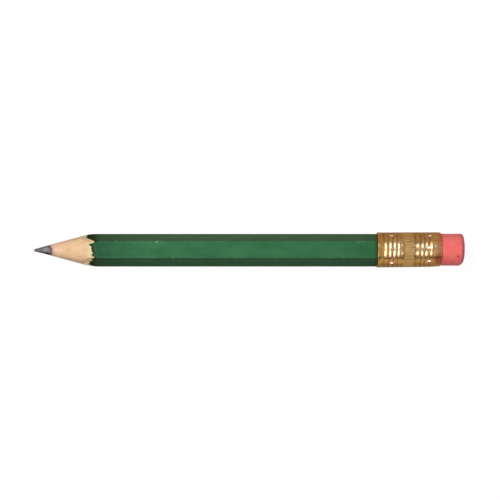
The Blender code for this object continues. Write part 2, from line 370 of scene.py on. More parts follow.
class Look:
    """A material under construction, with its places in millimetres in the pencil's own frame."""

    def __init__(self, name, **settings):
        self.material, self.shader = new_material(name, **settings)
        self.tree = self.material.node_tree
        coordinates = self.node("TexCoord").outputs["Object"]
        corner = (-TIP_X / MM, 0.0, -AXIS_Z / MM)
        scale = self.node("Mapping", Location=corner, Scale=(1 / MM,) * 3, Vector=coordinates)
        self.place = scale.outputs["Vector"]

    def node(self, kind, **inputs):
        return add_node(self.tree, kind, **inputs)

    def axis(self, name):
        return self.node("SeparateXYZ", Vector=self.place).outputs[name]

    def noise(self, scale, detail, rough, distortion=0.0, stretch=None):
        place = self.place
        if stretch is not None:
            place = self.node("Mapping", Scale=stretch, Vector=place).outputs["Vector"]
        node = self.node("TexNoise", Scale=scale, Detail=detail, Roughness=rough, Vector=place)
        node.inputs["Distortion"].default_value = distortion
        return node.outputs["Fac"]

    def attribute(self, name):
        node = self.node("Attribute")
        node.attribute_name = name
        return node.outputs["Fac"]

    def math(self, operation, first, second=0.0):
        node = self.node("Math")
        node.operation = operation
        feed(self.tree, node.inputs[0], first)
        feed(self.tree, node.inputs[1], second)
        return node.outputs[0]

    def times(self, first, second):
        return self.math("MULTIPLY", first, second)

    def plus(self, first, second):
        return self.math("ADD", first, second)

    def span(self, value, low, high, to_low=0.0, to_high=1.0):
        """value stretched from low..high to to_low..to_high, and held at both ends."""
        node = self.node("MapRange", Value=value, From_Min=low, From_Max=high, To_Min=to_low, To_Max=to_high)
        node.interpolation_type = "SMOOTHSTEP"
        return node.outputs["Result"]

    def spot(self, x, y, z, radius, softness=0.5):
        """1 in the middle of a ball, 0 outside it."""
        node = self.node("VectorMath")
        node.operation = "DISTANCE"
        feed(self.tree, node.inputs[0], self.place)
        feed(self.tree, node.inputs[1], (x, y, z))
        return self.span(node.outputs["Value"], radius * (1 - softness), radius, 1.0, 0.0)

    def ramp(self, value, *stops):
        """Starts the colour: between those of the stops, each a position and a colour picker's values."""
        node = self.node("ValToRGB", Fac=value)
        elements = node.color_ramp.elements
        while len(elements) < len(stops):
            elements.new(0.5)
        for element, (position, color) in zip(elements, stops):
            element.position = position
            element.color = srgb(*color)
        self.color = node.outputs["Color"]

    def tint(self, target, mask, strength=None):
        """Turns the colour towards a colour picker's target by mask, or by that share of it."""
        share = mask if strength is None else self.times(mask, strength)
        self.color = mix_colors(self.tree, share, self.color, srgb(*target))

    def shade(self, factors, mask):
        """Multiplies the colour's red, green and blue by these factors where mask is 1."""
        self.color = mix_colors(self.tree, mask, self.color, (*factors, 1.0), "MULTIPLY")

    def bump(self, height, distance, strength=1.0, under=None):
        node = self.node("Bump", Strength=strength, Distance=distance * MM, Height=height)
        if under is not None:
            feed(self.tree, node.inputs["Normal"], under)
        return node.outputs["Normal"]

    def finish(self, roughness, normal):
        for key, value in (("Base Color", self.color), ("Roughness", roughness), ("Normal", normal)):
            feed(self.tree, self.shader.inputs[key], value)
        return self.material


# ---- materials

def wood_look():
    """Bare cedar: straight grain along the pencil, with faint growth rings and short dark pores."""
    look = Look("bare_cedar", IOR=1.4)
    streaks = look.noise(1.0, 5.0, 0.6, stretch=(0.06, 3.0, 3.0))
    look.ramp(streaks, (0.25, (206, 163, 122)), (0.5, (221, 183, 142)), (0.75, (232, 200, 160)))
    across = look.plus(look.times(look.axis("Y"), 1.1), look.times(look.axis("Z"), 0.5))
    wander = look.noise(1.0, 3.0, 0.5, stretch=(0.04, 0.4, 0.4))
    rings = look.plus(across, look.times(wander, 2.0))
    late_wood = look.span(look.math("PINGPONG", rings, 0.5), 0.34, 0.5)
    look.tint((190, 136, 90), late_wood, 0.22)
    pores = look.noise(1.0, 3.0, 0.7, stretch=(0.5, 16.0, 16.0))
    flecks = look.span(pores, 0.60, 0.72)
    look.tint((150, 104, 66), flecks, 0.35)
    look.tint((184, 128, 82), look.spot(8.2, -0.2, 2.2, 0.9, 0.9), 0.30)
    blush = look.span(look.axis("X"), 4.0, 8.0, 0.5, 0.0)
    look.tint((224, 182, 158), blush)
    smudge_noise = look.noise(3.0, 4.0, 0.6, stretch=(0.5, 1.0, 1.0))
    near_core = look.span(look.attribute("from_core"), 0.0, 1.3, 0.85, 0.0)
    look.tint((120, 98, 90), near_core, look.span(smudge_noise, 0.35, 0.65))
    pale_noise = look.span(look.noise(2.2, 4.0, 0.6), 0.3, 0.6)
    near_paint = look.span(look.attribute("to_paint"), 0.1, 1.1, 0.6, 0.0)
    look.tint((226, 212, 168), near_paint, pale_noise)
    # A nearly white patch on the -Y side of the wood, just in front of the lacquer.
    pale_patch = look.spot(13.0, -3.3, 0.2, 1.9, 0.7)
    look.tint((250, 244, 232), pale_patch, 0.8)
    height = look.math("SUBTRACT", streaks, look.times(flecks, 0.6))
    cut_marks = look.noise(1.0, 2.0, 0.5, stretch=(5.0, 0.6, 0.6))
    normal = look.bump(cut_marks, 0.01, 0.4, look.bump(height, 0.04, 0.7))
    return look.finish(look.span(streaks, 0.3, 0.7, 0.62, 0.8), normal)


def graphite_look():
    """Cut graphite: grey with a dull sheen, darker at the tip, brown where it meets the wood, with painted
    shade on its sides and on a low spot near the wood, and a painted highlight further back from the tip.
    """
    look = Look("cut_graphite", Metallic=0.2)
    grain = look.noise(5.0, 6.0, 0.65)
    look.ramp(grain, (0.3, (66, 64, 66)), (0.55, (92, 89, 89)), (0.8, (122, 117, 116)))
    # Painted highlight: lighter graphite further back from the tip.
    painted_highlight_band = look.span(look.axis("X"), 1.5, 2.9, 0.0, 0.65)
    look.tint((146, 137, 134), painted_highlight_band)
    scratches = look.noise(1.0, 3.0, 0.6, stretch=(16.0, 1.5, 1.5))
    look.tint((58, 56, 60), look.span(scratches, 0.55, 0.75, 0.0, 0.5))
    rim = look.span(look.axis("X"), 2.6, 3.9, 0.0, 0.75)
    look.tint((84, 52, 44), rim)
    # Painted shade on the sides of the core.
    look.tint((50, 48, 52), look.attribute("side"), 0.6)
    # Painted shade: a dark spot low on the -Y side near the wood.
    painted_shade_spot = look.spot(2.9, -0.75, 0.75, 0.75, 0.7)
    look.tint((34, 24, 24), painted_shade_spot, 0.8)
    height = look.plus(grain, look.times(scratches, 1.5))
    return look.finish(look.span(grain, 0.3, 0.7, 0.42, 0.6), look.bump(height, 0.02, 0.7))


def glue_look():
    """Dried white glue, slightly yellow."""
    look = Look("dried_glue", IOR=1.46)
    cloud = look.noise(4.0, 4.0, 0.6, stretch=(0.3, 1.0, 1.0))
    look.ramp(cloud, (0.3, (188, 150, 100)), (0.7, (222, 196, 150)))
    return look.finish(look.span(cloud, 0.3, 0.7, 0.45, 0.65), look.bump(cloud, 0.01, 0.6))


def primer_look():
    """Pale, chalky undercoat, soaked into the grain and faintly stained green by the lacquer."""
    look = Look("pale_primer", IOR=1.45)
    cloud = look.noise(3.0, 5.0, 0.65, stretch=(0.7, 1.0, 1.0))
    look.ramp(cloud, (0.3, (188, 184, 138)), (0.5, (208, 202, 158)), (0.75, (222, 214, 180)))
    near_lacquer = look.span(look.attribute("to_paint"), 0.0, 0.22, 0.75, 0.0)
    look.tint((112, 128, 62), near_lacquer, look.span(cloud, 0.3, 0.6))
    return look.finish(look.span(cloud, 0.3, 0.7, 0.55, 0.75), look.bump(cloud, 0.02, 0.8))


def lacquer_look():
    """Dark green lacquer: cloudy, stained at its broken edge, rubbed at its corners and scuffed, darker
    towards its front end, with painted shade towards the ferrule, on its side faces and along its corners.
    """
    look = Look("green_lacquer", IOR=1.45, Specular_IOR_Level=0.3)
    cloud = look.noise(0.5, 5.0, 0.6, stretch=(0.35, 1.0, 1.0))
    look.ramp(cloud, (0.3, (43, 99, 60)), (0.5, (50, 107, 69)), (0.72, (60, 115, 76)))
    # Darker towards the front end, and painted shade towards the ferrule.
    front_end = look.span(look.axis("X"), 13.5, 28.0, 1.0, 0.0)
    back_end = look.span(look.axis("X"), 71.0, 79.0, 0.0, 0.22)
    look.shade((0.48, 0.62, 0.60), look.math("MAXIMUM", front_end, back_end))
    # Painted shade: the side faces are darker than the top and bottom ones.
    look.shade((0.96, 0.79, 0.86), look.attribute("side"))
    fine = look.noise(9.0, 4.0, 0.7)
    look.tint((30, 74, 46), look.span(fine, 0.35, 0.7, 0.0, 0.22))
    scratches = look.noise(1.0, 3.0, 0.65, stretch=(0.25, 14.0, 14.0))
    scratch = look.span(scratches, 0.62, 0.74)
    look.tint((106, 136, 102), scratch, 0.2)
    corner = look.span(look.attribute("corner"), 0.35, 1.0)
    rubbed = look.times(corner, look.span(look.noise(0.9, 5.0, 0.7), 0.52, 0.72))
    look.tint((96, 132, 96), rubbed, 0.3)
    # Painted shade along the corners and on some faces.
    look.tint((20, 40, 24), look.attribute("painted_shade"))
    streaky = look.span(look.noise(1.0, 3.0, 0.6, stretch=(0.5, 7.0, 7.0)), 0.42, 0.62)
    scuff = look.times(look.attribute("scuffed"), streaky)
    look.tint((120, 142, 112), scuff, 0.28)
    look.tint((150, 168, 128), look.attribute("nick"), 0.75)
    stain = look.attribute("stain")
    look.tint((14, 42, 2), look.math("MINIMUM", look.times(stain, 1.6), 1.0))
    look.tint((30, 16, 0), look.span(stain, 0.55, 1.0, 0.0, 0.8))
    # A dark olive band on the lacquer just in front of the ferrule's mouth.
    olive_band = look.span(look.axis("X"), SHOULDER - 0.8, SHOULDER - 0.5)
    look.tint((62, 66, 24), olive_band, 0.9)
    wear = look.plus(look.plus(look.times(scratch, 0.5), scuff), stain)
    roughness = look.span(look.plus(fine, wear), 0.35, 1.5, 0.18, 0.42)
    roughness = look.plus(roughness, look.times(stain, 0.45))
    height = look.math("SUBTRACT", look.times(cloud, 0.8), look.times(scratch, 0.15))
    return look.finish(roughness, look.bump(fine, 0.004, 0.5, look.bump(height, 0.02, 0.4)))


def gold_look():
    """Polished gold sheet under a thin clear coat: tarnish in the recesses, turning marks, cloudy patina,
    paler gold painted where the highlights fall, and a painted reflection of the eraser at the rear.
    """
    look = Look("gold_sheet", Metallic=1.0, Coat_Weight=0.6, Coat_Roughness=0.12)
    patina = look.noise(0.8, 5.0, 0.65, 0.4)
    look.ramp(patina, (0.3, (222, 158, 76)), (0.5, (242, 183, 98)), (0.75, (250, 207, 132)))
    fluted = look.attribute("fluted")
    look.tint((255, 210, 134), fluted, 0.8)
    # Painted highlight colour: paler gold where the highlights fall.
    look.tint((252, 231, 194), look.attribute("rubbed"), 0.78)
    stain = look.noise(2.4, 4.0, 0.6)
    look.tint((122, 68, 24), look.attribute("recess"), look.span(stain, 0.25, 0.7, 0.15, 0.6))
    tarnish = look.span(look.noise(1.3, 4.0, 0.6, 0.6), 0.54, 0.68)
    look.tint((150, 92, 38), tarnish, 0.45)
    spots = look.span(look.noise(5.0, 3.0, 0.7), 0.64, 0.74)
    look.tint((130, 82, 36), spots, 0.35)
    turning = look.noise(1.0, 3.0, 0.6, stretch=(22.0, 0.5, 0.5))
    # Painted highlight: a pale pink patch on top of the rear band.
    bare = look.spot(FERRULE_END - 0.9, 0.2, 4.0, 1.7, 0.6)
    look.tint((255, 206, 160), bare, look.span(turning, 0.3, 0.6, 0.2, 0.65))
    # Painted reflection of the eraser: pink-red over the rear band.
    rear = look.span(look.axis("X"), FERRULE_END - 1.3, FERRULE_END - 0.4)
    look.tint((252, 142, 106), rear, 0.85)
    # Painted reflection of the eraser: dark red on the -Y side of the rear band.
    painted_red_reflection = look.spot(FERRULE_END - 0.7, -2.5, 3.2, 1.7, 0.6)
    look.tint((184, 78, 54), painted_red_reflection, 0.85)
    polish = look.plus(patina, look.times(turning, 0.4))
    brushed = look.times(look.math("MAXIMUM", fluted, look.times(rear, 0.6)), 0.14)
    roughness = look.plus(look.span(polish, 0.4, 1.0, 0.16, 0.25), brushed)
    return look.finish(roughness, look.bump(turning, 0.003, 0.5, look.bump(stain, 0.01, 0.4)))


def rubber_look():
    """Eraser rubber: fine matte grain with pumice specks, soft end edges greyed by graphite smudges and by
    painted shade.
    """
    depth = {"Subsurface_Weight": 0.12, "Subsurface_Scale": 0.0006, "Subsurface_Radius": (1.0, 0.35, 0.3)}
    look = Look("red_rubber", IOR=1.5, Sheen_Weight=0.15, Sheen_Roughness=0.6, **depth)
    cloud = look.noise(0.45, 4.0, 0.6)
    look.ramp(cloud, (0.3, (230, 96, 92)), (0.5, (237, 105, 99)), (0.72, (242, 117, 110)))
    grain = look.noise(12.0, 4.0, 0.7)
    specks = look.span(look.noise(7.0, 2.0, 0.6), 0.66, 0.74)
    look.tint((250, 176, 166), specks, 0.35)
    dark = look.span(look.noise(4.5, 2.0, 0.6, stretch=(1.0, 1.3, 1.1)), 0.69, 0.77)
    look.tint((150, 50, 56), dark, 0.4)
    smears = look.span(look.noise(1.4, 5.0, 0.7), 0.3, 0.7, 0.45, 0.85)
    # Grey on the rounded end: graphite smudges, and painted shade along its edge.
    look.tint((112, 74, 96), look.attribute("smudge_and_shade"), smears)
    scuff = look.spot(99.65, -1.65, 3.3, 0.45)
    look.tint((150, 44, 50), scuff, 0.75)
    height = look.plus(grain, look.times(cloud, 2.0))
    return look.finish(look.span(grain, 0.3, 0.7, 0.7, 0.9), look.bump(height, 0.03, 0.6))


def floor_look():
    """Plain white sheet that glows, and can be seen through from underneath so that the pencil shows."""
    paint = {"Base_Color": (0.12, 0.12, 0.12, 1.0), "Roughness": 0.9, "Specular_IOR_Level": 0.0}
    glow = {"Emission_Color": (1.0, 1.0, 1.0, 1.0), "Emission_Strength": 0.92}
    material, shader = new_material("white_paper", **paint, **glow)
    tree = material.node_tree
    underneath = add_node(tree, "NewGeometry").outputs["Backfacing"]
    clear = add_node(tree, "BsdfTransparent").outputs["BSDF"]
    paper = mix_shaders(tree, underneath, shader.outputs["BSDF"], clear)
    feed(tree, tree.nodes["Material Output"].inputs["Surface"], paper)
    return material


# ---- the pieces

PAINT_FLAKES = (
    # direction and half width in degrees of each flake lost, and how far it reaches back
    (-2, 23, 1.20),
    (-34, 12, 0.20),
    (-46, 10, 0.55),
    (-60, 18, 1.00),
    (-86, 12, 0.70),
    (30, 10, 0.42),
    (46, 13, 0.85),
    (66, 15, 0.62),
    (118, 15, 0.55),
    (150, 9, 0.30),
    (176, 20, 0.45),
    (-118, 13, 0.62),
)
FLAKE_STEEPNESS = 1.8
LACQUER_LIP, PRIMER_LIP = 0.14, 0.10  # how far behind its edge each coat has its full thickness


def lacquer_edge(angles):
    """Station of the lacquer's front edge: where the cone cuts it, broken back in flakes."""
    edge = cone_station(hex_radius(angles, LACQUER_APOTHEM, LACQUER_CORNER), angles)
    for degrees, half, depth in PAINT_FLAKES:
        inside = 1 - off_angle(angles, degrees) / half
        edge = edge + depth * smooth(inside * FLAKE_STEEPNESS)
    torn = 0.13 * rough_line(angles, 3.0, 26, 5) + 0.09 * rough_line(angles, 8.0, 60, 3)
    return edge + SET_BACK + torn


def primer_edge(angles):
    """The primer shows as a narrow uneven strip in front of the lacquer."""
    strip = 0.36 + 0.24 * rough_line(angles, 11.0, 16, 4)
    return lacquer_edge(angles) - np.maximum(strip, 0.12)


CORE_CUT_END = 5.0  # just behind the place where the cone leaves the core
FACETS = 5
FACET_DEPTH = 0.018  # as a share of the radius
GRAIN_DEPTH = 0.012
WRITING_LEAN = math.radians(38)
WRITING_DIRECTION = math.radians(-70)
WRITING_REACH = 0.30  # from the front of the tip to the flat that is rubbed by writing


def make_core(material):
    """The graphite core: a rounded tip with slight facets from sharpening and a flat rubbed by writing."""
    angles = around(96)
    arc = (math.pi / 2 - SHARPENING_ANGLE) * np.linspace(0.08, 1, 14)
    tip_stations = POINT_START + POINT_RADIUS * (1 - np.cos(arc))
    cone_stations = np.linspace(tip_stations[-1] + 0.05, CORE_CUT_END, 90)
    stations = rows(np.concatenate([tip_stations, cone_stations, [8.0, 40.0, WOOD_END]]), angles)
    bar = off_centre_radius(angles, CORE_RADIUS)
    cone_radii = np.minimum(cone_radius(rows(cone_stations, angles), angles), bar)
    radii = np.concatenate([rows(POINT_RADIUS * np.sin(arc), angles), cone_radii, np.tile(bar, (3, 1))])
    on_cone = smooth(CORE_CUT_END - stations)
    facets = FACET_DEPTH * (np.cos(FACETS * angles + 0.9 * stations) - 1) * smooth(stations / 0.6)
    grain = GRAIN_DEPTH * rough_field(stations, radii, angles, (3, 5, 5), 2.0)
    radii = radii * (1 + on_cone * facets) + on_cone * (grain - GRAIN_DEPTH) * smooth(stations / 0.4)
    # Nothing stands above the writing flat's plane, which leans over the tip.
    across = np.cos(angles - WRITING_DIRECTION)
    limit = (WRITING_REACH + (stations - POINT_START) * math.sin(WRITING_LEAN)) / math.cos(WRITING_LEAN)
    radii = np.where(across > 0.05, np.minimum(radii, limit / np.maximum(across, 0.05)), radii)
    points = to_points(stations, np.maximum(radii, 0.005), angles)
    # Marks the sides of the core for painted shade.
    values = {"side": smooth((np.abs(np.sin(angles)) - 0.5) / 0.4) + 0 * stations}
    piece = turned_solid("sharpened_core", points, material, "graphite", values)
    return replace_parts(piece, "graphite_core")


TONGUE = (12, 40, 0.16)  # where the graphite shows further back: direction, half width in degrees, length
WOOD_DETAIL_END = 15.6  # fine rows as far as this, under the lacquer
FIBRE_DEPTH, CHATTER_DEPTH = 0.012, 0.006


def wood_rows(angles):
    """Stations and radii of the casing's outer surface, and its front edge: from there to the tenon's end."""
    front = cone_station(off_centre_radius(angles, BORE_RADIUS) + THIN_EDGE, angles)
    degrees, half, length = TONGUE
    tongue = length * smooth(1 - off_angle(angles, degrees) / half)
    front = front + SET_BACK + 0.18 * np.maximum(rough_line(angles, 7.0, 9, 3), -0.25) + tongue
    hexagon = hex_radius(angles, WOOD_APOTHEM, WOOD_CORNER)
    crease = cone_station(hexagon, angles)
    on_cone = front + (crease - front) * np.linspace(0, 1, 86)[:, None]
    beyond = crease + (WOOD_DETAIL_END - crease) * np.linspace(0.02, 1, 22)[:, None]
    far = rows([30.0, 55.0, SHOULDER - 0.02, SHOULDER + 0.02, WOOD_END], angles)
    stations = np.concatenate([on_cone, beyond, far])
    radii = soft_min(cone_radius(stations, angles), hexagon + 0 * stations, 0.05)
    radii[-2:] = np.minimum(hexagon, TENON_RADIUS)
    coarse = rough_field(stations, radii, angles, (0.12, 3.2, 3.2), 4.0, 4)
    fine = rough_field(stations, radii, angles, (0.4, 9, 9), 9.0, 2)
    chatter = rough_field(stations, radii, angles, (2.6, 0.4, 0.4), 15.0, 2)
    relief = FIBRE_DEPTH * (0.5 * coarse + 0.5 * fine) + CHATTER_DEPTH * chatter - 0.008
    bare = smooth((15.4 - stations) / 0.8) * smooth((stations - front) / 0.15)
    return stations, radii + relief * bare, front


def half_turn(middle, radius):
    """Angles of half a circle of this radius, from one side of the seam to the other."""
    half = math.pi / 2 - math.asin(SEAM_HALF / radius)
    return math.radians(middle) + np.linspace(-half, half, 145)


def make_slat(name, node, middle, material):
    """One half of the casing, with its half of the core's groove and its side of the glue seam."""
    angles = half_turn(middle, TENON_RADIUS)
    stations, radii, front = wood_rows(angles)
    outer = to_points(stations, radii, angles)
    inner_angles = half_turn(middle, BORE_RADIUS)
    inner = to_points(stations, off_centre_radius(inner_angles, BORE_RADIUS), inner_angles)
    marks = {"from_core": stations - front, "to_paint": primer_edge(angles) - stations}
    values = {key: np.concatenate([mark, mark]) for key, mark in marks.items()}
    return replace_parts(half_shell(name, outer, inner, material, "cedar", values=values), node)


HIDDEN_ROWS = [20.0, 35.0, 50.0, 65.0, SHOULDER]


def coat_rings(angles, edge, apothem, corner, thickness, lip, body=HIDDEN_ROWS):
    """Outer rows, front to back, and inner rows, back to front, of a coat that thins out over its lip."""
    steps = np.array([0.0, 0.12, 0.3, 0.55, 0.85, 1.25, 1.8])[:, None] * lip
    near = np.linspace(2.4 * lip, 1.6, 10)[:, None]
    stations = np.concatenate([edge + steps, edge + near, rows(body, angles)])
    rise = np.sqrt(np.clip((stations - edge) / lip, 0, 1))
    floor = hex_radius(angles, apothem, corner) - thickness
    outer_radii = floor + THIN_EDGE + (thickness - THIN_EDGE) * rise
    inner_stations = np.stack([SHOULDER + 0 * angles, 0.5 * (SHOULDER + edge), edge + lip, edge])
    return stations, outer_radii, inner_stations, floor + 0 * inner_stations


def make_primer(material):
    """The primer: hidden by the lacquer apart from its uneven front edge."""
    angles = around(360)
    edge = primer_edge(angles)
    corner = corner_radius(PRIMER_APOTHEM, half_size("primer_coat", Y))
    stations, radii, inner_stations, inner_radii = coat_rings(
        angles, edge, PRIMER_APOTHEM, corner, PRIMER_THICKNESS, PRIMER_LIP
    )
    outer = to_points(stations, radii, angles)
    inner = to_points(inner_stations, inner_radii, angles)
    to_paint = lacquer_edge(angles) - np.concatenate([stations, inner_stations])
    piece = sleeve("primer_edge", outer, inner, material, "primer", values={"to_paint": to_paint})
    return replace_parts(piece, "primer_coat")


NICKS = (
    # station, direction, radius and depth of each dent in the lacquer
    (29.0, 28, 0.24, 0.050),
    (19.5, 31, 0.22, 0.015),
    (76.2, 30, 0.34, 0.012),
    (32.8, -35, 0.26, 0.016),
    (47.6, -36, 0.24, 0.014),
    (57.3, -36, 0.22, 0.010),
    (41.0, -95, 0.30, 0.050),
    (52.0, 92, 0.26, 0.050),
    (36.0, 178, 0.26, 0.050),
    (63.5, 148, 0.36, 0.060),
    (70.2, -148, 0.30, 0.050),
    (80.5, -25, 0.20, 0.040),
)
DEEPEST_NICK = 0.06
NICK_ROWS = np.arange(-0.4, 0.41, 0.1)  # rows of the mesh round each dent
ROW_STEP = 0.54  # and between the others
SCUFFS = (
    # first and last station, direction and half width in degrees of each run of fine scuff marks
    (29.7, 34.4, 56, 5),
    (38.4, 42.7, 56, 5),
    (57.6, 60.0, 57, 5),
    (44.0, 50.0, -95, 6),
    (60.0, 66.0, 140, 6),
    (25.0, 30.0, -160, 5),
)
PAINTED_SHADE_BANDS = (
    # direction and half width in degrees, and darkness, of each band of painted shade on the lacquer
    (-37, 3.6, 0.65),
    (-62, 15, 0.28),
    (37, 4.0, 0.25),
    (-78, 8.0, 0.25),
    (84, 6.0, 0.35),
    (149, 4.0, 0.4),
    (-152, 4.0, 0.4),
)


def ridge(angles, degrees, width):
    """1 in one direction, fading to both sides of it."""
    return np.exp(-((off_angle(angles, degrees) / width) ** 2))


def edge_stain(angles, from_edge):
    """How brown the lacquer is next to its broken edge, from 0 to 1: further back at the sides."""
    left, right = ridge(angles, 66, 25), ridge(angles, -76, 24)
    reach = 1.4 + 2.3 * left + 1.4 * right + 0.3 * rough_line(angles, 41.0, 8)
    return (0.72 + 0.28 * np.maximum(left, right)) * smooth(1 - from_edge / reach)


def make_lacquer(material):
    """The lacquer: broken front edge, rounded corners, dents, and marks for its stains, scuffs and painted
    shade.
    """
    angles = around(360)
    edge = lacquer_edge(angles)
    body = np.arange(edge.max() + 1.8, SHOULDER - 0.2, ROW_STEP)
    fine_rows = [station + step for station, *_ in NICKS for step in NICK_ROWS]
    body = np.unique(np.round(np.concatenate([body, fine_rows, [SHOULDER]]), 2))
    stations, radii, inner_stations, inner_radii = coat_rings(
        angles, edge, LACQUER_APOTHEM, LACQUER_CORNER, LACQUER_THICKNESS, LACQUER_LIP, body
    )
    nick = 0 * radii
    for station, degrees, radius, depth in NICKS:
        across = np.radians(off_angle(angles, degrees)) * radii
        pit = np.exp(-((np.hypot(across, stations - station) / radius) ** 4))
        radii = radii - depth * pit
        nick = np.maximum(nick, depth / DEEPEST_NICK * pit)
    scuffed = 0 * radii
    for first, last, degrees, half in SCUFFS:
        ends = smooth((stations - first) / 0.8) * smooth((last - stations) / 0.8)
        scuffed = np.maximum(scuffed, ends * smooth(1.4 - off_angle(angles, degrees) / half))
    waves = rough_field(stations, radii, angles, (0.22, 0.5, 0.5), 51.0, 2)
    radii = radii + (LACQUER_BUILD + 0.006 * waves - 0.006) * smooth((stations - edge - 0.1) / 1.2)

    outer = to_points(stations, radii, angles)
    inner = to_points(inner_stations, inner_radii, angles)
    both = np.concatenate([stations, inner_stations])
    bulge = hex_radius(angles, LACQUER_APOTHEM, LACQUER_CORNER) - LACQUER_APOTHEM
    painted_shade = sum(share * ridge(angles, degrees, width) for degrees, width, share in PAINTED_SHADE_BANDS)
    unseen = 0 * inner_stations
    values = {
        "corner": bulge / bulge.max() + 0 * both,
        "stain": edge_stain(angles + 0 * both, both - edge),
        "painted_shade": painted_shade + 0 * both,
        # Marks the side faces for painted shade.
        "side": smooth((np.abs(np.sin(angles)) - 0.50) / 0.12) + 0 * both,
        "nick": np.concatenate([nick, unseen]),
        "scuffed": np.concatenate([scuffed, unseen]),
    }
    piece = sleeve("lacquer_skin", outer, inner, material, "green_lacquer", values=values)
    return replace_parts(piece, "lacquer_coat")


GROOVES = (
    # station, half width and depth of each groove
    (82.30, 0.50, 0.135),
    (83.38, 0.50, 0.135),
    (84.41, 0.50, 0.135),
    (85.39, 0.50, 0.135),
    (86.24, 0.48, 0.055),
    (89.64, 0.72, 0.135),
    (90.92, 0.50, 0.135),
    (91.86, 0.50, 0.135),
    (93.00, 0.50, 0.135),
    (94.02, 0.45, 0.050),
)
GROOVE_ROUNDING = 0.05
GROOVE_MAKEUP = 1.06  # for the depth that the rounding takes away
GROOVE_LOPSIDED = 0.25  # its front flank is this share shorter, and its back flank this share longer
GROOVE_SKEW = 0.10  # and its bottom this much nearer to the point
FLUTED_BAND = (86.95, 89.45)
FLUTES = 34
FLUTE_DEPTH = 0.06
PUNCHES = (
    # station and direction of each notch that holds the wood, or, further back, the eraser
    *((84.10, degrees) for degrees in (54, -54, 116, -118, 178)),
    *((93.10, degrees) for degrees in (53, 118, -120, 179)),
    (92.86, -47),
)
PUNCH_LENGTH = 0.46  # round the ferrule
PUNCH_DEPTH = 0.30
PUNCH_HALF_WIDTH = 0.38
PUNCH_LEAN = 0.24  # how steeply each notch also deepens towards the point
TOP_PRICK = (92.30, 93.60, 4.5, 6.5, 0.31)  # front, back, direction and half width in degrees, depth
REAR_TAPER = 0.06
REAR_TUCK = 0.14  # how far the -Y side leans in at the rear
TUCK_LENGTH = 3.0
MOUTH_LENGTH, MOUTH_DROP = 0.10, 0.06  # the rolled front edge
RIM_LENGTH, RIM_DROP = 0.5, 0.22  # and the rear one


def groove_profile():
    """Stations, and the grooves' depth at each: straight flanks, rounded at the bottoms and on the ribs."""
    step = 0.01
    stations = np.arange(FERRULE_START - 1, FERRULE_END + 1, step)
    depths = 0 * stations
    for middle, half, depth in GROOVES:
        reach = half * np.where(stations < middle - GROOVE_SKEW, 1 - GROOVE_LOPSIDED, 1 + GROOVE_LOPSIDED)
        share = 1 - np.abs(stations - middle + GROOVE_SKEW) / reach
        depths = np.maximum(depths, GROOVE_MAKEUP * depth * share)
    reach = np.arange(-3 * GROOVE_ROUNDING, 3 * GROOVE_ROUNDING, step)
    kernel = np.exp(-((reach / GROOVE_ROUNDING) ** 2))
    return stations, np.convolve(depths, kernel / kernel.sum(), "same")


